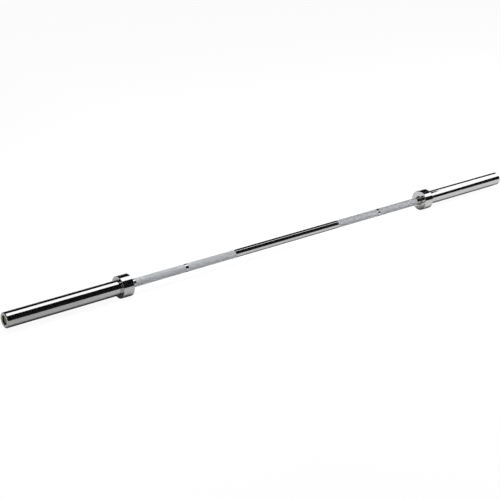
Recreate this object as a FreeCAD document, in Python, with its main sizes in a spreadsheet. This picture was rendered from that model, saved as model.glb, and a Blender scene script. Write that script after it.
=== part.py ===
import FreeCAD, Part
import os
import re
import Sketcher
from FreeCAD import Placement, Rotation, Vector

# Driving dimensions in millimetres. The bar lies along X with its middle at the origin.
SIZES = {
    # The whole bar and its grip
    "overall_length": 2200,
    "grip_length": 1320,
    "grip_diameter": 28,
    "smooth_length": 470,
    "mark_spacing": 876,
    "mark_width": 12,
    "knurl_height": 0.15,
    "knurl_stop": 16,
    "shaft_edge": 0.5,
    # The shaft inside a sleeve
    "shoulder_height": 2,
    "shoulder_fillet": 0.6,
    "stub_step": 3,
    "stub_tail": 3.5,
    "shaft_groove_depth": 0.5,
    "end_setback": 30,
    # The sleeve tube and its collar
    "sleeve_diameter": 50,
    "sleeve_edge": 2,
    "mouth_edge": 0.8,
    "chamber_step": 0.5,
    "plug_step": 0.5,
    "collar_diameter": 74,
    "collar_width": 40,
    "collar_lip": 5,
    "collar_seat_rise": 0.5,
    "collar_edge": 1.2,
    # The bronze bushings
    "bushing_wall": 1.95,
    "bushing_length": 50,
    "bushing_edge": 0.8,
    "head_rise": 3,
    "head_length": 8,
    "oil_groove_width": 5,
    "oil_groove_depth": 0.6,
    # The thrust washers and their grease slots
    "inner_washer_thickness": 1.5,
    "outer_washer_thickness": 3,
    "slot_width": 2.5,
    "slot_depth": 0.7,
    # The two retaining rings
    "ring_gap": 2.6,
    "ring_taper": 0.4,
    "lug_radius": 2,
    "lug_spread": 6.4,
    "lug_hole": 1.8,
    "shaft_ring_thickness": 1.2,
    "shaft_ring_width": 2.4,
    "shaft_lug_reach": 2.4,
    "end_ring_thickness": 1.2,
    "end_ring_width": 2.7,
    "end_lug_reach": 4.2,
    "end_groove_depth": 0.7,
    # The end plug and its seal
    "plug_depth": 5.5,
    "plug_thickness": 8,
    "plug_edge": 0.6,
    "seal_section": 2,
    "seal_room": 0.6,
    # Clearances
    "running_clearance": 0.05,
    "end_float": 0.3,
    "head_gap": 0.3,
    "washer_gap": 0.3,
    "plug_gap": 0.1,
}

SLOT_COUNT = 3

# Radii out from the bar's axis
grip_radius = "grip_diameter / 2"
knurl_radius = f"({grip_radius} + knurl_height)"
journal_radius = f"({grip_radius} - shoulder_height)"
stub_radius = f"({journal_radius} - stub_step)"
shaft_groove_radius = f"({stub_radius} - shaft_groove_depth)"
bushing_bore = f"({journal_radius} + running_clearance)"
tube_bore = f"({bushing_bore} + bushing_wall)"
head_radius = f"({tube_bore} + head_rise)"
lip_radius = f"({head_radius} + head_gap)"
chamber_radius = f"({tube_bore} + chamber_step)"
plug_seat_radius = f"({chamber_radius} + plug_step)"
end_groove_radius = f"({plug_seat_radius} + end_groove_depth)"
plug_radius = f"({plug_seat_radius} - plug_gap)"
sleeve_radius = "sleeve_diameter / 2"
collar_seat_radius = f"({sleeve_radius} + collar_seat_rise)"
collar_radius = "collar_diameter / 2"

# Stations along the right half of the bar
smooth_end = "smooth_length / 2"
mark_start = "(mark_spacing - mark_width) / 2"
mark_end = "(mark_spacing + mark_width) / 2"
collar_face = "grip_length / 2"
collar_end = f"({collar_face} + collar_width)"
tube_start = f"({collar_face} + collar_lip)"
head_face = f"({tube_start} - head_length)"
inner_washer_end = f"({head_face} - end_float)"
inner_washer_start = f"({inner_washer_end} - inner_washer_thickness)"
grip_shoulder = f"({inner_washer_start} - end_float)"
knurl_end = f"({grip_shoulder} - knurl_stop)"
sleeve_end = "overall_length / 2"
bushing_end = f"({sleeve_end} - end_setback)"
outer_washer_start = f"({bushing_end} + end_float)"
outer_washer_end = f"({outer_washer_start} + outer_washer_thickness)"
shaft_ring_start = f"({outer_washer_end} + end_float)"
shaft_ring_end = f"({shaft_ring_start} + shaft_ring_thickness)"
stub_end = f"({shaft_ring_end} + stub_tail)"
plug_face = f"({sleeve_end} - plug_depth)"
plug_back = f"({plug_face} - plug_thickness)"
plug_middle = f"({plug_face} - plug_thickness / 2)"
end_ring_end = f"({plug_face} + end_ring_thickness)"

doc = FreeCAD.newDocument("Barbell")
sheet = doc.addObject("Spreadsheet::Sheet", "Sizes")
for row, (alias, value) in enumerate(SIZES.items(), 1):
    sheet.set(f"A{row}", alias)
    sheet.set(f"B{row}", str(value))
    sheet.setAlias(f"B{row}", alias)
doc.recompute()


def formula(text):
    # Point every size named in a formula at its cell.
    return re.sub(r"[a-z]+(?:_[a-z]+)+", r"Sizes.\g<0>", text)


def measure(text):
    return float(sheet.evalExpression(formula(text)))


def new_body(name):
    body = doc.addObject("PartDesign::Body", name)
    body.Label = name
    return body


def new_sketch(body, name, role, offset=None):
    # A sketch on one of the body's origin planes, moved along its normal by the offset formula.
    sketch = body.newObject("Sketcher::SketchObject", name)
    plane = next(item for item in body.Origin.OriginFeatures if item.Role == role)
    sketch.AttachmentSupport = [(plane, "")]
    sketch.MapMode = "FlatFace"
    if offset:
        sketch.setExpression(".AttachmentOffset.Base.z", formula(offset))
    return sketch


def bind(sketch, kind, point, text):
    # Fix a point's distance from the sketch's origin by a formula.
    number = sketch.addConstraint(Sketcher.Constraint(kind, -1, 1, *point, measure(text)))
    sketch.setExpression(f"Constraints[{number}]", formula(text))


def place_point(sketch, point, across, up):
    horizontal_axis = -1
    vertical_axis = -2
    if across == "0":
        sketch.addConstraint(Sketcher.Constraint("PointOnObject", *point, vertical_axis))
    else:
        bind(sketch, "DistanceX", point, across)
    if up == "0":
        sketch.addConstraint(Sketcher.Constraint("PointOnObject", *point, horizontal_axis))
    else:
        bind(sketch, "DistanceY", point, up)


def draw_outline(sketch, corners):
    # A closed outline of straight lines through corners given as pairs of formulas.
    points = [Vector(measure(across), measure(up), 0) for across, up in corners]
    count = len(points)
    first = sketch.GeometryCount
    for index, point in enumerate(points):
        sketch.addGeometry(Part.LineSegment(point, points[(index + 1) % count]))
    for index, (across, up) in enumerate(corners):
        line = first + index
        following = first + (index + 1) % count
        sketch.addConstraint(Sketcher.Constraint("Coincident", line, 2, following, 1))
        place_point(sketch, (line, 1), across, up)


def draw_circle(sketch, across, up, radius):
    centre = Vector(measure(across), measure(up), 0)
    circle = sketch.addGeometry(Part.Circle(centre, Vector(0, 0, 1), measure(radius)))
    place_point(sketch, (circle, 3), across, up)
    number = sketch.addConstraint(Sketcher.Constraint("Radius", circle, measure(radius)))
    sketch.setExpression(f"Constraints[{number}]", formula(radius))


def stepped_outline(start, outer, inner):
    # The half section of a turned piece: steps out to the given stations on the outside, then on the bore.
    def side(steps):
        station = start
        corners = []
        for end, radius in steps:
            corners += [(station, radius), (end, radius)]
            station = end
        return corners

    return side(outer) + side(inner)[::-1]


def turn(body, sketch):
    turned = body.newObject("PartDesign::Revolution", body.Name + "_turned")
    turned.Profile = sketch
    turned.ReferenceAxis = (sketch, ["H_Axis"])
    turned.Angle = 360
    doc.recompute()
    return turned


def turned_piece(name, start, outer, inner):
    body = new_body(name)
    sketch = new_sketch(body, name + "_section", "XZ_Plane")
    draw_outline(sketch, stepped_outline(start, outer, inner))
    turn(body, sketch)
    return body


def break_edges(body, feature_type, size_property, size, places):
    # Chamfer or fillet the circular edges at the given stations and radii.
    wanted = [(measure(station), measure(radius)) for station, radius in places]
    near = 1e-4
    base = body.Tip
    names = []
    for number, edge in enumerate(base.Shape.Edges, 1):
        if not isinstance(edge.Curve, Part.Circle):
            continue
        station = edge.Curve.Center.x
        radius = edge.Curve.Radius
        if any(abs(station - x) < near and abs(radius - r) < near for x, r in wanted):
            names.append(f"Edge{number}")
    if len(names) < len(places):
        raise RuntimeError(f"{body.Label}: only {len(names)} of {len(places)} edges found")
    feature = body.newObject(feature_type, f"{body.Name}_{size}")
    feature.Base = (base, names)
    feature.setExpression(size_property, formula(size))
    doc.recompute()


def chamfer(body, size, places):
    break_edges(body, "PartDesign::Chamfer", "Size", size, places)


def fillet(body, size, places):
    break_edges(body, "PartDesign::Fillet", "Radius", size, places)


def pad(body, sketch, thickness):
    padded = body.newObject("PartDesign::Pad", sketch.Name + "_pad")
    padded.Profile = sketch
    padded.setExpression("Length", formula(thickness))
    doc.recompute()
    return padded


def cut(body, sketch, depth):
    # Cut along the sketch's normal, and make sure that material went away.
    before = body.Tip.Shape.Volume
    pocket = body.newObject("PartDesign::Pocket", sketch.Name + "_cut")
    pocket.Profile = sketch
    pocket.Reversed = True
    pocket.setExpression("Length", formula(depth))
    doc.recompute()
    if pocket.Shape.Volume >= before:
        raise RuntimeError(f"{pocket.Name} removed nothing")
    return pocket


def make_shaft():
    # One steel bar: knurled lands with smooth marks, then a journal and a stub at each end.
    body = turned_piece(
        "shaft",
        "0",
        [
            (smooth_end, grip_radius),
            (mark_start, knurl_radius),
            (mark_end, grip_radius),
            (knurl_end, knurl_radius),
            (grip_shoulder, grip_radius),
            (bushing_end, journal_radius),
            (shaft_ring_start, stub_radius),
            (shaft_ring_end, shaft_groove_radius),
            (stub_end, stub_radius),
        ],
        [(stub_end, "0")],
    )
    half = body.Tip
    mirrored = body.newObject("PartDesign::Mirrored", "shaft_both_ends")
    mirrored.Originals = [half]
    mirrored.MirrorPlane = (half.Profile[0], ["V_Axis"])
    body.Tip = mirrored
    doc.recompute()
    both = ("", "-1 * ")
    fillet(body, "shoulder_fillet", [(sign + grip_shoulder, journal_radius) for sign in both])
    outer_edges = [(grip_shoulder, grip_radius), (bushing_end, journal_radius), (stub_end, stub_radius)]
    chamfer(body, "shaft_edge", [(sign + station, radius) for sign in both for station, radius in outer_edges])
    return body


def make_sleeve_tube(name):
    body = turned_piece(
        name,
        tube_start,
        [(collar_end, collar_seat_radius), (sleeve_end, sleeve_radius)],
        [
            (bushing_end, tube_bore),
            (plug_back, chamber_radius),
            (plug_face, plug_seat_radius),
            (end_ring_end, end_groove_radius),
            (sleeve_end, plug_seat_radius),
        ],
    )
    chamfer(body, "sleeve_edge", [(sleeve_end, sleeve_radius)])
    chamfer(body, "mouth_edge", [(sleeve_end, plug_seat_radius)])
    return body


def make_collar(name):
    # The stop ring, pressed on the tube's seat until its lip meets the tube's end.
    body = turned_piece(
        name,
        collar_face,
        [(collar_end, collar_radius)],
        [(tube_start, lip_radius), (collar_end, collar_seat_radius)],
    )
    chamfer(body, "collar_edge", [(collar_face, collar_radius), (collar_end, collar_radius)])
    return body


def bushing_hole(start, end):
    # A plain running bore with one oil groove half way along.
    middle = f"({start} + {end}) / 2"
    return [
        (f"({middle} - oil_groove_width / 2)", bushing_bore),
        (f"({middle} + oil_groove_width / 2)", f"({bushing_bore} + oil_groove_depth)"),
        (end, bushing_bore),
    ]


def make_inner_bushing(name):
    # Its head stands out through the collar's lip and takes the sleeve's inward thrust.
    inner_end = f"({tube_start} + bushing_length)"
    body = turned_piece(
        name,
        head_face,
        [(tube_start, head_radius), (inner_end, tube_bore)],
        bushing_hole(head_face, inner_end),
    )
    chamfer(body, "bushing_edge", [(head_face, bushing_bore), (head_face, head_radius)])
    return body


def make_outer_bushing(name):
    outer_start = f"({bushing_end} - bushing_length)"
    body = turned_piece(
        name, outer_start, [(bushing_end, tube_bore)], bushing_hole(outer_start, bushing_end)
    )
    chamfer(body, "bushing_edge", [(outer_start, bushing_bore), (outer_start, tube_bore)])
    return body


def make_inner_thrust_washer(name):
    # A thin washer on the journal, between the grip's shoulder and the bushing's head.
    body = turned_piece(
        name, inner_washer_start, [(inner_washer_end, grip_radius)], [(inner_washer_end, bushing_bore)]
    )
    chamfer(body, "shoulder_fillet", [(inner_washer_start, bushing_bore)])
    return body


def make_outer_thrust_washer(name):
    # A hardened washer on the stub, with grease slots in the face that the bushing runs against.
    outside = f"({chamber_radius} - washer_gap)"
    inside = f"({stub_radius} + running_clearance)"
    body = turned_piece(name, outer_washer_start, [(outer_washer_end, outside)], [(outer_washer_end, inside)])
    sketch = new_sketch(body, name + "_slot", "YZ_Plane", outer_washer_start)
    half_width = "slot_width / 2"
    inner_end = f"{inside} / 2"
    outer_end = f"({outside} + slot_width)"
    corners = [(f"-{half_width}", inner_end), (half_width, inner_end)]
    corners += [(half_width, outer_end), (f"-{half_width}", outer_end)]
    draw_outline(sketch, corners)
    slot = cut(body, sketch, "slot_depth")
    pattern = body.newObject("PartDesign::PolarPattern", name + "_slots")
    pattern.Originals = [slot]
    pattern.Axis = (sketch, ["N_Axis"])
    pattern.Angle = 360
    pattern.Occurrences = SLOT_COUNT
    body.Tip = pattern
    doc.recompute()
    return body


def ring_with_lugs(name, start, thickness, outer, inner, lug_height):
    # A flat spring ring, widest at the top, with a gap and two drilled lugs at the bottom.
    body = new_body(name)
    ring = new_sketch(body, name + "_ring", "YZ_Plane", start)
    for rise, radius in (outer, inner):
        draw_circle(ring, "0", rise, radius)
    pad(body, ring, thickness)
    for sign in ("-", ""):
        lug = new_sketch(body, name + "_lug", "YZ_Plane", start)
        draw_circle(lug, f"{sign}lug_spread / 2", lug_height, "lug_radius")
        pad(body, lug, thickness)
    cuts = new_sketch(body, name + "_gap", "YZ_Plane", start)
    half_gap = "ring_gap / 2"
    gap_end = f"{lug_height} * 2"
    corners = [(f"-{half_gap}", gap_end), (half_gap, gap_end)]
    corners += [(half_gap, "-lug_radius"), (f"-{half_gap}", "-lug_radius")]
    draw_outline(cuts, corners)
    for sign in ("-", ""):
        draw_circle(cuts, f"{sign}lug_spread / 2", lug_height, "lug_hole / 2")
    cut(body, cuts, thickness)
    return body


def make_shaft_ring(name):
    # The outside ring that snaps into the stub's groove and keeps the sleeve on the shaft.
    return ring_with_lugs(
        name,
        shaft_ring_start,
        "shaft_ring_thickness",
        ("ring_taper", f"({shaft_groove_radius} + shaft_ring_width)"),
        ("0", shaft_groove_radius),
        f"-({shaft_groove_radius} + shaft_lug_reach)",
    )


def make_end_ring(name):
    # The inside ring that snaps into the sleeve's mouth and holds the plug.
    return ring_with_lugs(
        name,
        plug_face,
        "end_ring_thickness",
        ("0", end_groove_radius),
        ("-ring_taper", f"({end_groove_radius} - end_ring_width)"),
        f"-({end_groove_radius} - end_lug_reach)",
    )


def make_end_plug(name):
    # The disc that closes the sleeve, seated on the step behind it.
    half_groove = "(seal_section + seal_room) / 2"
    body = turned_piece(
        name,
        plug_back,
        [
            (f"({plug_middle} - {half_groove})", plug_radius),
            (f"({plug_middle} + {half_groove})", f"({plug_seat_radius} - seal_section)"),
            (plug_face, plug_radius),
        ],
        [(plug_face, "0")],
    )
    chamfer(body, "plug_edge", [(plug_face, plug_radius)])
    return body


def make_plug_seal(name):
    # A square-cut rubber ring in the plug's groove, which keeps the plug from rattling.
    seal_start = f"({plug_middle} - seal_section / 2)"
    seal_end = f"({plug_middle} + seal_section / 2)"
    return turned_piece(
        name, seal_start, [(seal_end, plug_seat_radius)], [(seal_end, f"({plug_seat_radius} - seal_section)")]
    )


side_pieces = {
    "sleeve_tube": make_sleeve_tube,
    "collar": make_collar,
    "inner_bushing": make_inner_bushing,
    "outer_bushing": make_outer_bushing,
    "inner_thrust_washer": make_inner_thrust_washer,
    "outer_thrust_washer": make_outer_thrust_washer,
    "shaft_ring": make_shaft_ring,
    "end_plug": make_end_plug,
    "plug_seal": make_plug_seal,
    "end_ring": make_end_ring,
}
side_turns = {"right": 0, "left": 180}

nodes = [make_shaft()]
for side, angle in side_turns.items():
    for piece, make in side_pieces.items():
        body = make(f"{side}_{piece}")
        body.Placement = Placement(Vector(0, 0, 0), Rotation(Vector(0, 0, 1), angle))
        nodes.append(body)
doc.recompute()

for item in doc.Objects:
    if "Invalid" in item.State or "Error" in item.State:
        raise RuntimeError(f"{item.Label} failed: {item.State}")
for body in nodes:
    if body.Shape.isNull() or not body.Shape.isValid() or len(body.Shape.Solids) != 1:
        raise RuntimeError(f"{body.Label} is not one valid solid")

os.makedirs("parts", exist_ok=True)
for body in nodes:
    body.Shape.exportStep(f"parts/{body.Label}.step")
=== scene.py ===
import math

import bmesh
import bpy
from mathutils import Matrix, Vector


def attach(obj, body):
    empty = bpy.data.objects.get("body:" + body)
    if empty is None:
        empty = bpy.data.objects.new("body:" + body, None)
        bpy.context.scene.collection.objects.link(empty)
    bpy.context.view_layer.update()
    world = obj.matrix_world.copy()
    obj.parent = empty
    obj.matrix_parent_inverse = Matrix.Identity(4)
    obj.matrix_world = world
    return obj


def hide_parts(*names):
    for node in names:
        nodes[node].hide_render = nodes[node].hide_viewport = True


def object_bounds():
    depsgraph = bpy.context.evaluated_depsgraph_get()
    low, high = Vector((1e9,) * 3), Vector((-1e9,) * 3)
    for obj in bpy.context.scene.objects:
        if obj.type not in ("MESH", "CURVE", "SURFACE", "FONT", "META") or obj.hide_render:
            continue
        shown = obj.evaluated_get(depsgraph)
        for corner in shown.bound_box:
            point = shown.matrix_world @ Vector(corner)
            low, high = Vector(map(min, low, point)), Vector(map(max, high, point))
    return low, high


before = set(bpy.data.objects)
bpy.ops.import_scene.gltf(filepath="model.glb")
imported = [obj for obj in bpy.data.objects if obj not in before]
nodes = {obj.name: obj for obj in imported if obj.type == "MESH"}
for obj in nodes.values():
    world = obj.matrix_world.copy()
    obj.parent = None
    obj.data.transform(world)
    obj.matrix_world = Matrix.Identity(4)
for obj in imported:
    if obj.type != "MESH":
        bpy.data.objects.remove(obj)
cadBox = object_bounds()
print("frame loaded with", len(nodes), "CAD nodes")

mm = 0.001
alongBar = (0, math.pi / 2, 0)  # the turn that lays a round shape along the bar
meshWork = {
    "mergeGap": 0.002 * mm,
    "sameSpot": 0.001 * mm,
    "bevelAngle": math.radians(20),  # corners that turn more than this are rounded
    "smoothAngle": math.radians(40),
}


def clearSelection():
    if bpy.context.mode != "OBJECT":
        bpy.ops.object.mode_set(mode="OBJECT")
    bpy.ops.object.select_all(action="DESELECT")


def applyPlace():
    bpy.ops.object.transform_apply(location=True, rotation=True, scale=True)


# The shape just added is named and opened for editing
def openShape(name):
    shape = bpy.context.object
    shape.name = shape.data.name = name
    applyPlace()
    bpy.ops.object.mode_set(mode="EDIT")
    return shape


# All its faces are turned outwards before the editing ends
def closeShape():
    bpy.ops.mesh.select_all(action="SELECT")
    bpy.ops.mesh.normals_make_consistent(inside=False)
    bpy.ops.object.mode_set(mode="OBJECT")


def selectWhere(piece, kind, test):
    bpy.ops.mesh.select_mode(type=kind)
    bpy.ops.mesh.select_all(action="DESELECT")
    mesh = bmesh.from_edit_mesh(piece.data)
    for element in mesh.faces if kind == "FACE" else mesh.edges:
        if test(element):
            element.select_set(True)
    bmesh.update_edit_mesh(piece.data)


def applyModifier(piece, kind, **settings):
    modifier = piece.modifiers.new(kind.lower(), kind)
    for setting, value in settings.items():
        setattr(modifier, setting, value)
    bpy.context.view_layer.objects.active = piece
    bpy.ops.object.modifier_apply(modifier=modifier.name)


# A ring is drawn round the bar and pulled from point to point of the outline,
# each point a station along the bar and a radius, in millimetres
def turnPiece(name, outline, sides, solid=False):
    station, radius = outline[0]
    clearSelection()
    bpy.ops.mesh.primitive_circle_add(
        vertices=sides,
        radius=radius * mm,
        fill_type="NGON" if solid else "NOTHING",
        location=(station * mm, 0, 0),
        rotation=alongBar,
    )
    piece = openShape(name)
    bpy.ops.mesh.select_all(action="SELECT")
    for (station, radius), (nextStation, nextRadius) in zip(outline, outline[1:]):
        step = ((nextStation - station) * mm, 0, 0)
        bpy.ops.mesh.extrude_region_move(TRANSFORM_OT_translate={"value": step})
        swell = nextRadius / radius
        bpy.ops.transform.resize(
            value=(1, swell, swell), center_override=(nextStation * mm, 0, 0)
        )
    bpy.ops.mesh.select_all(action="SELECT")
    bpy.ops.mesh.remove_doubles(threshold=meshWork["mergeGap"])
    closeShape()
    return piece


def roundEdges(piece, width, steps):
    clearSelection()
    piece.select_set(True)
    applyModifier(
        piece,
        "BEVEL",
        width=width * mm,
        segments=steps,
        limit_method="ANGLE",
        angle_limit=meshWork["bevelAngle"],
    )
    bpy.ops.object.shade_smooth_by_angle(angle=meshWork["smoothAngle"])
    applyModifier(piece, "WEIGHTED_NORMAL", keep_sharp=True)


# The left side is the right side turned half way round
def copyToLeft(piece):
    clearSelection()
    piece.select_set(True)
    bpy.context.view_layer.objects.active = piece
    bpy.ops.object.duplicate(linked=False)
    copy = bpy.context.object
    copy.name = copy.data.name = piece.name.replace("right", "left")
    bpy.ops.transform.rotate(value=math.pi, orient_axis="Z", center_override=(0, 0, 0))
    applyPlace()
    return copy


# Shaft, with its sizes in millimetres like those of the other pieces
shaftSize = {
    "sides": 128,
    "plainRadius": 14.0,
    "coreRadius": 13.65,  # under the knurl
    "knurlBands": [(235, 432), (444, 638.9)],
    "shoulder": 654.9,
    "journalRadius": 12.0,
    "journalEnd": 1070,
    "stubRadius": 9.0,
    "grooveRadius": 8.5,
    "groove": (1073.6, 1074.8),
    "stubEnd": 1078.3,
    "edge": 0.5,
    "rounding": 0.25,
    "roundingSteps": 2,
}


def makeShaft():
    size = shaftSize
    plain, core, edge = size["plainRadius"], size["coreRadius"], size["edge"]
    half = []
    for start, end in size["knurlBands"]:
        half += [(start, plain), (start, core), (end, core), (end, plain)]
    half += [
        (size["shoulder"] - edge, plain),
        (size["shoulder"], plain - edge),
        (size["shoulder"], size["journalRadius"]),
        (size["journalEnd"] - edge, size["journalRadius"]),
        (size["journalEnd"], size["journalRadius"] - edge),
        (size["journalEnd"], size["stubRadius"]),
        (size["groove"][0], size["stubRadius"]),
        (size["groove"][0], size["grooveRadius"]),
        (size["groove"][1], size["grooveRadius"]),
        (size["groove"][1], size["stubRadius"]),
        (size["stubEnd"] - edge, size["stubRadius"]),
        (size["stubEnd"], size["stubRadius"] - edge),
    ]
    outline = [(-station, radius) for station, radius in reversed(half)] + half
    piece = turnPiece("shaft_bar", outline, size["sides"], solid=True)
    roundEdges(piece, size["rounding"], size["roundingSteps"])
    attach(piece, "shaft")
    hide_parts("shaft")
    return piece


# Knurl: a tube of squares is poked and its straight edges dissolved, which leaves
# diamonds, and each diamond is inset and lifted to a flat-topped point
knurlSize = {
    "diamondsRound": 60,
    "diamondLength": 2.0,
    "valleyRadius": 13.78,
    "lift": 0.38,
    "slopeWidth": 0.34,
}


def makeKnurl(name, start, end):
    size = knurlSize
    rows = round((end - start) / size["diamondLength"])
    clearSelection()
    bpy.ops.mesh.primitive_cylinder_add(
        vertices=size["diamondsRound"],
        radius=size["valleyRadius"] * mm,
        depth=(end - start) * mm,
        end_fill_type="NOTHING",
        location=((start + end) / 2 * mm, 0, 0),
        rotation=alongBar,
    )
    piece = openShape(name)

    def goesAlong(edge):
        first, second = (corner.co for corner in edge.verts)
        return (first - second).yz.length < meshWork["sameSpot"]

    def goesRound(edge):
        first, second = (corner.co for corner in edge.verts)
        return abs(first.x - second.x) < meshWork["sameSpot"]

    selectWhere(piece, "EDGE", goesAlong)
    bpy.ops.mesh.subdivide(number_cuts=rows - 1)
    bpy.ops.mesh.select_all(action="SELECT")
    bpy.ops.mesh.poke()
    selectWhere(
        piece,
        "EDGE",
        lambda edge: (goesAlong(edge) or goesRound(edge)) and not edge.is_boundary,
    )
    bpy.ops.mesh.dissolve_edges(use_verts=False)
    # four corners make a diamond; the halves along the ends stay flat
    selectWhere(piece, "FACE", lambda face: len(face.verts) == 4)
    bpy.ops.mesh.inset(
        thickness=size["slopeWidth"] * mm, depth=size["lift"] * mm, use_individual=True
    )
    # the open ends are turned in to the core and joined, so the band is closed
    selectWhere(piece, "EDGE", lambda edge: edge.is_boundary)
    bpy.ops.mesh.extrude_region_move()
    shrink = shaftSize["coreRadius"] / size["valleyRadius"]
    bpy.ops.transform.resize(value=(1, shrink, shrink), center_override=(0, 0, 0))
    bpy.ops.mesh.bridge_edge_loops()
    closeShape()
    return piece


# Sleeve tube
sleeveSize = {
    "sides": 160,
    "seatRadius": 25.5,  # under the collar
    "radius": 25.0,
    "start": 665,
    "seatEnd": 700,
    "end": 1100,
    "edge": 2.0,
    "mouthRadius": 15.0,
    "mouthEdge": 0.8,
    "mouthStart": 1086.5,
    "groove": (1094.5, 1095.7),
    "grooveRadius": 15.7,
    "chamber": (1070, 14.5),  # its start and its radius
    "boreRadius": 14.0,
    "rounding": 0.35,
    "roundingSteps": 3,
}


def makeSleeve():
    size = sleeveSize
    start, end, edge = size["start"], size["end"], size["edge"]
    mouth, mouthEdge = size["mouthRadius"], size["mouthEdge"]
    chamberStart, chamberRadius = size["chamber"]
    outline = [
        (start, size["seatRadius"]),
        (size["seatEnd"], size["seatRadius"]),
        (size["seatEnd"], size["radius"]),
        (end - edge, size["radius"]),
        (end, size["radius"] - edge),
        (end, mouth + mouthEdge),
        (end - mouthEdge, mouth),
        (size["groove"][1], mouth),
        (size["groove"][1], size["grooveRadius"]),
        (size["groove"][0], size["grooveRadius"]),
        (size["groove"][0], mouth),
        (size["mouthStart"], mouth),
        (size["mouthStart"], chamberRadius),
        (chamberStart, chamberRadius),
        (chamberStart, size["boreRadius"]),
        (start, size["boreRadius"]),
        (start, size["seatRadius"]),
    ]
    piece = turnPiece("right_sleeve", outline, size["sides"])
    roundEdges(piece, size["rounding"], size["roundingSteps"])
    return piece


# Stop collar
collarSize = {
    "sides": 160,
    "start": 660,
    "lipEnd": 665,
    "end": 700,
    "radius": 37.0,
    "edge": 1.2,
    "lipRadius": 17.3,
    "boreRadius": 25.5,
    "rounding": 0.4,
    "roundingSteps": 3,
}


def makeCollar():
    size = collarSize
    start, end, edge = size["start"], size["end"], size["edge"]
    outline = [
        (start, size["radius"] - edge),
        (start + edge, size["radius"]),
        (end - edge, size["radius"]),
        (end, size["radius"] - edge),
        (end, size["boreRadius"]),
        (size["lipEnd"], size["boreRadius"]),
        (size["lipEnd"], size["lipRadius"]),
        (start, size["lipRadius"]),
        (start, size["radius"] - edge),
    ]
    piece = turnPiece("right_stop_collar", outline, size["sides"])
    roundEdges(piece, size["rounding"], size["roundingSteps"])
    return piece


shaftBar = makeShaft()
print("shaft turned,", len(shaftBar.data.polygons), "faces")

knurls = []
for place, (start, end) in zip(("inner", "outer"), shaftSize["knurlBands"]):
    right = makeKnurl("right_" + place + "_knurl", start, end)
    knurls += [right, copyToLeft(right)]
for piece in knurls:
    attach(piece, "shaft")
print("knurl cut,", sum(len(piece.data.polygons) for piece in knurls), "faces")

sleeves, collars = [makeSleeve()], [makeCollar()]
sleeves.append(copyToLeft(sleeves[0]))
collars.append(copyToLeft(collars[0]))
for side, sleeve, collar in zip(("right", "left"), sleeves, collars):
    for piece, node in ((sleeve, "_sleeve_tube"), (collar, "_collar")):
        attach(piece, side + "_sleeve")
        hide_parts(side + node)
print("sleeves and collars turned")


# Shader helpers
def makeNode(tree, kind, inputs=None, **settings):
    node = tree.nodes.new(kind)
    for setting, value in settings.items():
        setattr(node, setting, value)
    for socket, value in (inputs or {}).items():
        if isinstance(value, bpy.types.NodeSocket):
            tree.links.new(value, node.inputs[socket])
        else:
            node.inputs[socket].default_value = value
    return node


def makeMath(tree, operation, first, second, clamp=False):
    node = makeNode(
        tree,
        "ShaderNodeMath",
        {0: first, 1: second},
        operation=operation,
        use_clamp=clamp,
    )
    return node.outputs[0]


def makeRange(tree, value, low, high, toLow=0.0, toHigh=1.0):
    inputs = {0: value, 1: low, 2: high, 3: toLow, 4: toHigh}
    return makeNode(tree, "ShaderNodeMapRange", inputs).outputs[0]


# 0 up to the threshold, then rising to 1 over the softness
def makeThreshold(tree, value, threshold, softness):
    high = makeMath(tree, "ADD", threshold, softness)
    return makeRange(tree, value, threshold, high)


def makeBlend(tree, mask, first, second):
    inputs = {0: mask, 6: first, 7: second}  # 6 and 7 are the node's two colours
    return makeNode(tree, "ShaderNodeMix", inputs, data_type="RGBA").outputs[2]


def makeNoise(tree, place, scale, detail, grain=0.5):
    inputs = {"Vector": place, "Scale": scale, "Detail": detail, "Roughness": grain}
    return makeNode(tree, "ShaderNodeTexNoise", inputs).outputs[0]


def stretchBy(tree, place, factors):
    inputs = {0: place, 1: factors}
    return makeNode(
        tree, "ShaderNodeVectorMath", inputs, operation="MULTIPLY"
    ).outputs[0]


def radiusOf(tree, place):
    inputs = {0: stretchBy(tree, place, (0, 1, 1))}
    return makeNode(
        tree, "ShaderNodeVectorMath", inputs, operation="LENGTH"
    ).outputs["Value"]


def startGroup(name, inputs, outputs):
    group = bpy.data.node_groups.new(name, "ShaderNodeTree")
    for direction, sockets in (("INPUT", inputs), ("OUTPUT", outputs)):
        for socket in sockets:
            group.interface.new_socket(
                socket, in_out=direction, socket_type="NodeSocketFloat"
            )
    given = group.nodes.new("NodeGroupInput").outputs
    asked = group.nodes.new("NodeGroupOutput").inputs
    place = group.nodes.new("ShaderNodeTexCoord").outputs["Object"]
    return group, given, asked, place


# Surface effects, which the materials below share
effectLook = {
    "lineDrift": 0.02,  # change round a ring, against the change along the bar
    "lineDetail": 2.0,
    "hazeDetail": 5.0,
    "hazeGrain": 0.6,
    "hazeSoftness": 0.25,
    "scuffStretch": (0.012, 1, 1),
    "scuffDetail": 1.0,
    "scuffSoftness": 0.06,
    "mottleDetail": 4.0,
    "mottleGrain": 0.55,
    "mottleSpan": (0.3, 0.7),
    "mottleScales": {"Stain": 1.0, "Speckle": 9.0},
}


# Lathe lines: rings round the bar on its sides and circles on its end faces
def latheLinesGroup():
    group, given, asked, place = startGroup("latheLines", ["Fineness"], ["Lines"])
    split = makeNode(group, "ShaderNodeSeparateXYZ", {0: place}).outputs
    drift = makeMath(group, "MULTIPLY", split[1], effectLook["lineDrift"])
    line = makeNode(
        group,
        "ShaderNodeCombineXYZ",
        {0: split[0], 1: radiusOf(group, place), 2: drift},
    ).outputs[0]
    noise = makeNoise(group, line, given["Fineness"], effectLook["lineDetail"])
    group.links.new(noise, asked["Lines"])
    return group


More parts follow.
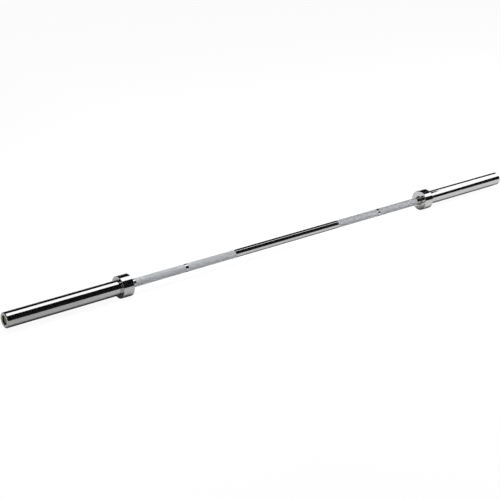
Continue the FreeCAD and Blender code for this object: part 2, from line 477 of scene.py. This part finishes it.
# Haze: the faint cloudy patches that hands and cloths leave on plating
def hazeGroup():
    look = effectLook
    group, given, asked, place = startGroup(
        "handlingHaze", ["Scale", "Threshold"], ["Haze"]
    )
    noise = makeNoise(
        group, place, given["Scale"], look["hazeDetail"], look["hazeGrain"]
    )
    haze = makeThreshold(group, noise, given["Threshold"], look["hazeSoftness"])
    group.links.new(haze, asked["Haze"])
    return group


# Scuffs: hair lines along the bar, where plates and racks slide
def scuffGroup():
    look = effectLook
    group, given, asked, place = startGroup(
        "slidingScuffs", ["Fineness", "Threshold"], ["Scuffs"]
    )
    stretched = stretchBy(group, place, look["scuffStretch"])
    noise = makeNoise(group, stretched, given["Fineness"], look["scuffDetail"])
    scuffs = makeThreshold(group, noise, given["Threshold"], look["scuffSoftness"])
    group.links.new(scuffs, asked["Scuffs"])
    return group


# Mottle: soft stains and a finer speckle
def mottleGroup():
    look = effectLook
    group, given, asked, place = startGroup(
        "mottledFinish", ["Scale"], look["mottleScales"]
    )
    for output, factor in look["mottleScales"].items():
        scale = makeMath(group, "MULTIPLY", given["Scale"], factor)
        noise = makeNoise(
            group, place, scale, look["mottleDetail"], look["mottleGrain"]
        )
        mottle = makeRange(group, noise, *look["mottleSpan"])
        group.links.new(mottle, asked[output])
    return group


# Depth: 0 at the low radius and 1 at the high one
def depthGroup():
    group, given, asked, place = startGroup("radialDepth", ["Low", "High"], ["Height"])
    height = makeRange(group, radiusOf(group, place), given["Low"], given["High"])
    group.links.new(height, asked["Height"])
    return group


effects = {
    "lines": latheLinesGroup(),
    "haze": hazeGroup(),
    "scuffs": scuffGroup(),
    "mottle": mottleGroup(),
    "depth": depthGroup(),
}


def useEffect(tree, effect, **inputs):
    node = tree.nodes.new("ShaderNodeGroup")
    node.node_tree = effects[effect]
    for socket, value in inputs.items():
        node.inputs[socket].default_value = value
    return node.outputs


def startMaterial(name, **constants):
    material = bpy.data.materials.new(name)
    material.use_nodes = True
    tree = material.node_tree
    shader = tree.nodes["Principled BSDF"]
    for socket, value in constants.items():
        shader.inputs[socket].default_value = value
    return material, tree, shader


def finishMaterial(tree, shader, look, colour, roughness, height):
    inputs = {
        "Strength": look["bumpStrength"],
        "Distance": look["bumpDepth"],
        "Height": height,
    }
    bump = makeNode(tree, "ShaderNodeBump", inputs).outputs[0]
    tree.links.new(colour, shader.inputs["Base Color"])
    tree.links.new(roughness, shader.inputs["Roughness"])
    tree.links.new(bump, shader.inputs["Normal"])


# Chrome on the sleeves, the collars and the plain parts of the shaft
chromeLook = {
    "colour": (0.63, 0.63, 0.63, 1),
    "hazedColour": (0.58, 0.58, 0.58, 1),
    "roughness": 0.05,
    "hazeRoughness": 0.05,  # added where it is hazed
    "scuffRoughness": 0.1,  # added where it is scuffed
    "hazeThreshold": 0.5,
    "scuffFineness": 700.0,
    "lineFineness": 4000.0,
    "bumpStrength": 0.3,
    "bumpDepth": 0.002 * mm,
}
chromeWear = {
    "sleeveChrome": {"hazeScale": 11.0, "scuffThreshold": 0.66},
    "shaftChrome": {"hazeScale": 16.0, "scuffThreshold": 0.7},
}


def chromeMaterial(name):
    look = {**chromeLook, **chromeWear[name]}
    material, tree, shader = startMaterial(name, Metallic=1.0)
    haze = useEffect(
        tree, "haze", Scale=look["hazeScale"], Threshold=look["hazeThreshold"]
    )["Haze"]
    scuffs = useEffect(
        tree,
        "scuffs",
        Fineness=look["scuffFineness"],
        Threshold=look["scuffThreshold"],
    )["Scuffs"]
    lines = useEffect(tree, "lines", Fineness=look["lineFineness"])["Lines"]
    colour = makeBlend(tree, haze, look["colour"], look["hazedColour"])
    hazed = makeMath(tree, "MULTIPLY", haze, look["hazeRoughness"])
    scuffed = makeMath(tree, "MULTIPLY", scuffs, look["scuffRoughness"])
    roughness = makeMath(tree, "ADD", hazed, scuffed)
    roughness = makeMath(tree, "ADD", roughness, look["roughness"])
    finishMaterial(tree, shader, look, colour, roughness, lines)
    return material


# Knurl: satin plating, with painted shade and a little grime in the valleys, so the colour
# darkens from the tops down into the valleys
knurlLook = {
    "top": (0.92, 0.94, 0.975, 1),
    # the valley colour is painted shade with a little grime
    "valleyShadeAndGrime": (0.51, 0.522, 0.543, 1),
    "topColourRadius": 14.1,  # from here up it has the top's colour, in millimetres
    "metallic": 0.6,
    "roughness": (0.34, 0.28),  # in the valleys and on the tops
    "stainScale": 60.0,
    "stainRoughness": 0.06,
    "bumpStrength": 0.15,
    "bumpDepth": 0.01 * mm,
}


def knurlMaterial():
    look = knurlLook
    material, tree, shader = startMaterial(
        "knurledChrome", Metallic=look["metallic"]
    )
    height = useEffect(
        tree,
        "depth",
        Low=knurlSize["valleyRadius"] * mm,
        High=look["topColourRadius"] * mm,
    )["Height"]
    mottle = useEffect(tree, "mottle", Scale=look["stainScale"])
    # painted shade with some grime: darker colour down in the valleys, lighter on the tops
    colour = makeBlend(tree, height, look["valleyShadeAndGrime"], look["top"])
    roughness = makeRange(tree, height, 0.0, 1.0, *look["roughness"])
    stained = makeMath(tree, "MULTIPLY", mottle["Stain"], look["stainRoughness"])
    roughness = makeMath(tree, "ADD", roughness, stained)
    finishMaterial(tree, shader, look, colour, roughness, mottle["Speckle"])
    return material


# Small metal parts and the rubber: each has two tones, a range of roughness, the
# depth of its lathe lines and the scale of its mottle
smallShared = {
    "lineFineness": 2600.0,
    "speckleShare": 0.35,
    "stainShare": 0.65,
    "bumpStrength": 0.6,
}
smallLooks = {
    "oiledBronze": {
        "tones": [(0.26, 0.24, 0.16, 1), (0.46, 0.43, 0.3, 1)],
        "roughness": (0.42, 0.26),
        "metallic": 1.0,
        "bumpDepth": 0.012 * mm,
        "scale": 150.0,
    },
    "yellowZinc": {
        "tones": [(0.28, 0.31, 0.18, 1), (0.42, 0.44, 0.27, 1)],
        "roughness": (0.45, 0.3),
        "metallic": 1.0,
        "bumpDepth": 0.015 * mm,
        "scale": 180.0,
    },
    "blackSpringSteel": {
        "tones": [(0.018, 0.018, 0.02, 1), (0.045, 0.044, 0.045, 1)],
        "roughness": (0.5, 0.36),
        "metallic": 0.6,
        "bumpDepth": 0.004 * mm,
        "scale": 300.0,
    },
    "groundSteel": {
        "tones": [(0.42, 0.42, 0.43, 1), (0.58, 0.58, 0.59, 1)],
        "roughness": (0.38, 0.24),
        "metallic": 1.0,
        "bumpDepth": 0.01 * mm,
        "scale": 200.0,
    },
    "sealRubber": {
        "tones": [(0.012, 0.012, 0.013, 1), (0.03, 0.03, 0.031, 1)],
        "roughness": (0.75, 0.6),
        "metallic": 0.0,
        "bumpDepth": 0.003 * mm,
        "scale": 260.0,
    },
}


def smallMaterial(name):
    look = {**smallShared, **smallLooks[name]}
    material, tree, shader = startMaterial(name, Metallic=look["metallic"])
    mottle = useEffect(tree, "mottle", Scale=look["scale"])
    lines = useEffect(tree, "lines", Fineness=look["lineFineness"])["Lines"]
    speckled = makeMath(tree, "MULTIPLY", mottle["Speckle"], look["speckleShare"])
    stained = makeMath(tree, "MULTIPLY", mottle["Stain"], look["stainShare"])
    mask = makeMath(tree, "ADD", speckled, stained)
    colour = makeBlend(tree, mask, *look["tones"])
    roughness = makeRange(tree, mask, 0.0, 1.0, *look["roughness"])
    finishMaterial(tree, shader, look, colour, roughness, lines)
    return material


def giveMaterial(piece, material):
    piece.data.materials.clear()
    piece.data.materials.append(material)


sleeveChrome = chromeMaterial("sleeveChrome")
shaftChrome = chromeMaterial("shaftChrome")
knurledChrome = knurlMaterial()
giveMaterial(shaftBar, shaftChrome)
for piece in knurls:
    giveMaterial(piece, knurledChrome)
for piece in sleeves + collars:
    giveMaterial(piece, sleeveChrome)

nodeFinish = {
    "inner_bushing": "oiledBronze",
    "outer_bushing": "oiledBronze",
    "inner_thrust_washer": "groundSteel",
    "outer_thrust_washer": "groundSteel",
    "shaft_ring": "blackSpringSteel",
    "end_ring": "blackSpringSteel",
    "end_plug": "yellowZinc",
    "plug_seal": "sealRubber",
}
smallMaterials = {name: smallMaterial(name) for name in smallLooks}
for side in ("left", "right"):
    for node, finish in nodeFinish.items():
        giveMaterial(nodes[side + "_" + node], smallMaterials[finish])
print("materials given")


# Stage, in metres: a pale floor under the collars, its colour painted darker towards the
# left as shade, a white surround, and a dark tent and a dark runner under the bar, a
# painted contact shadow, that only the plating's reflections see
stageLook = {
    "paintedShadeSpan": (-0.85, 0.6),  # where the painted shade on floor and runner goes from the darker left colour to the lighter right one
    "floorSize": 30,
    # painted shade: the floor is darker at left than at right
    "floorShadeColours": [(0.35, 0.35, 0.35, 1), (0.82, 0.82, 0.82, 1)],
    "cameraLift": 0.8,  # share of its own glow in the floor that the camera sees
    "mirrorLift": 0.03,  # and in the floor that the plating shows
    "liftStrength": 1.17,
    "tentSides": 180,
    "tentRadius": 2.4,
    "tentLength": 14,
    "tentArc": (-2, 168),  # degrees over the bar from the front
    "tentColour": (0.012, 0.012, 0.012, 1),
    "runnerSize": (2.4, 0.064),
    "runnerHeight": 0.2 * mm,  # over the floor
    # painted contact shadow under the bar, darker at left
    "runnerShadowColours": [(0.22, 0.22, 0.22, 1), (0.5, 0.5, 0.5, 1)],
    "surroundColour": (1, 1, 1, 1),
    "surroundLight": 0.18,  # what it sheds on the scene
    "surroundSeen": 1.0,  # to the camera and in the plating
}


def lightPathMask(tree, cameraShare, mirrorShare):
    path = tree.nodes.new("ShaderNodeLightPath").outputs
    seen = makeMath(tree, "MULTIPLY", path["Is Camera Ray"], cameraShare)
    mirrored = makeMath(
        tree, "ADD", path["Is Glossy Ray"], path["Is Transmission Ray"], clamp=True
    )
    mirrored = makeMath(tree, "MULTIPLY", mirrored, mirrorShare)
    return makeMath(tree, "ADD", seen, mirrored)


def paintedShadeAlong(tree, colours):
    place = tree.nodes.new("ShaderNodeTexCoord").outputs["Object"]
    along = makeNode(tree, "ShaderNodeSeparateXYZ", {0: place}).outputs[0]
    mask = makeRange(tree, along, *stageLook["paintedShadeSpan"])
    return makeBlend(tree, mask, *colours)


def showOnlyInPlating(item):
    item.visible_camera = item.visible_diffuse = item.visible_shadow = False


def makeFloor():
    look = stageLook
    clearSelection()
    bpy.ops.mesh.primitive_plane_add(
        size=look["floorSize"], location=(0, 0, cadBox[0].z)
    )
    floor = bpy.context.object
    floor.name = "floor"
    material = bpy.data.materials.new("paleFloor")
    material.use_nodes = True
    tree = material.node_tree
    tree.nodes.clear()
    # painted shade: the floor's colour runs from darker at left to lighter at right
    tone = paintedShadeAlong(tree, look["floorShadeColours"])
    matte = makeNode(tree, "ShaderNodeBsdfDiffuse", {"Color": tone}).outputs[0]
    glow = makeNode(
        tree, "ShaderNodeEmission", {"Strength": look["liftStrength"]}
    ).outputs[0]
    mask = lightPathMask(tree, look["cameraLift"], look["mirrorLift"])
    mix = makeNode(tree, "ShaderNodeMixShader", {0: mask, 1: matte, 2: glow})
    makeNode(tree, "ShaderNodeOutputMaterial", {0: mix.outputs[0]})
    giveMaterial(floor, material)


def makeTent():
    look = stageLook
    clearSelection()
    bpy.ops.mesh.primitive_cylinder_add(
        vertices=look["tentSides"],
        radius=look["tentRadius"],
        depth=look["tentLength"],
        end_fill_type="NOTHING",
        rotation=alongBar,
    )
    tent = openShape("darkTent")
    low, high = look["tentArc"]

    def isOutside(face):
        centre = face.calc_center_median()
        angle = math.degrees(math.atan2(centre.z, -centre.y))
        return not low <= angle <= high

    selectWhere(tent, "FACE", isOutside)
    bpy.ops.mesh.delete(type="FACE")
    bpy.ops.object.mode_set(mode="OBJECT")
    showOnlyInPlating(tent)
    constants = {"Base Color": look["tentColour"], "Roughness": 1.0}
    giveMaterial(tent, startMaterial("darkTent", **constants)[0])


# A dark sheet just over the floor under the bar, seen only in reflections: a painted
# contact shadow
def makeShadowRunner():
    look = stageLook
    clearSelection()
    bpy.ops.mesh.primitive_plane_add(
        size=1, location=(0, 0, cadBox[0].z + look["runnerHeight"])
    )
    runner = bpy.context.object
    runner.name = "paintedShadowRunner"
    bpy.ops.transform.resize(value=(*look["runnerSize"], 1))
    applyPlace()
    showOnlyInPlating(runner)
    material, tree, shader = startMaterial("paintedShadowRunner", Roughness=1.0)
    # painted shadow: darker at left, lighter at right
    tone = paintedShadeAlong(tree, look["runnerShadowColours"])
    tree.links.new(tone, shader.inputs["Base Color"])
    giveMaterial(runner, material)


def makeSurround():
    look = stageLook
    world = bpy.data.worlds.new("whiteSurround")
    bpy.context.scene.world = world
    world.use_nodes = True
    tree = world.node_tree
    tree.nodes.clear()
    shed, seen = (
        makeNode(
            tree,
            "ShaderNodeBackground",
            {"Color": look["surroundColour"], "Strength": look[strength]},
        ).outputs[0]
        for strength in ("surroundLight", "surroundSeen")
    )
    mask = lightPathMask(tree, cameraShare=1.0, mirrorShare=1.0)
    mix = makeNode(tree, "ShaderNodeMixShader", {0: mask, 1: shed, 2: seen})
    makeNode(tree, "ShaderNodeOutputWorld", {0: mix.outputs[0]})


# Light: a soft box over the bar's middle, one past its right end, a thin strip over
# each sleeve, a fill beside the camera, and two for the floor that the plating doesn't
# show. Turn is the tilt from straight down and the spin, in degrees
softBoxes = {
    "leftBox": {
        "place": (-0.05, 0.065, 1.5),
        "turn": (0, 0),
        "size": (1.4, 1.13),
        "radiance": 1.6,
    },
    "rightBox": {
        "place": (2.693, -0.345, 1.5),
        "turn": (0, -11.3),
        "size": (1.08, 2.38),
        "radiance": 1.6,
    },
    "strip": {
        "place": (1.37, 0.03, 1.5),
        "turn": (0, 0),
        "size": (1.4, 0.24),
        "radiance": 1.6,
    },
    "leftStrip": {
        "place": (-1.5, 0.03, 1.5),
        "turn": (0, 0),
        "size": (1.46, 0.24),
        "radiance": 1.6,
    },
    "frontFill": {
        "place": (-1.8, -2.3, 2.1),
        "turn": (54, -38),
        "size": (1.6, 1.6),
        "radiance": 1.5,
    },
    "leftFill": {
        "place": (-0.85, 0.1, 1.4),
        "turn": (0, 0),
        "size": (1, 1),
        "radiance": 7,
        "mirrored": False,
    },
    "rightFill": {
        "place": (1.7, -0.4, 1.4),
        "turn": (0, 0),
        "size": (1.2, 1.2),
        "radiance": 2.6,
        "mirrored": False,
    },
}


def makeLights():
    for name, box in softBoxes.items():
        tilt, spin = (math.radians(angle) for angle in box["turn"])
        width, depth = box["size"]
        clearSelection()
        bpy.ops.object.light_add(
            type="AREA", location=box["place"], rotation=(tilt, 0, spin)
        )
        lamp = bpy.context.object
        lamp.name = name
        lamp.data.shape = "RECTANGLE"
        lamp.data.size, lamp.data.size_y = width, depth
        lamp.data.energy = box["radiance"] * math.pi * width * depth
        lamp.visible_camera = False
        lamp.visible_glossy = box.get("mirrored", True)


# Camera: the place that matches the bar's ends, collars and marks in the picture
cameraView = {
    "place": (-2.5879, -3.0119, 1.4891),
    "look": (0.58472, 0.72698, -0.36001),
    "lens": 87.41,
    "sensorWidth": 36,
}


def makeCamera():
    clearSelection()
    bpy.ops.object.camera_add(location=cameraView["place"])
    camera = bpy.context.object
    camera.name = "photoCamera"
    camera.data.lens = cameraView["lens"]
    camera.data.sensor_width = cameraView["sensorWidth"]
    camera.data.dof.use_dof = False
    look = Vector(cameraView["look"])
    camera.rotation_euler = look.to_track_quat("-Z", "Y").to_euler()
    bpy.context.scene.camera = camera


makeFloor()
makeTent()
makeShadowRunner()
makeSurround()
makeLights()
makeCamera()
bpy.context.scene.view_settings.view_transform = "Standard"
print("stage, light and camera set")

clearSelection()
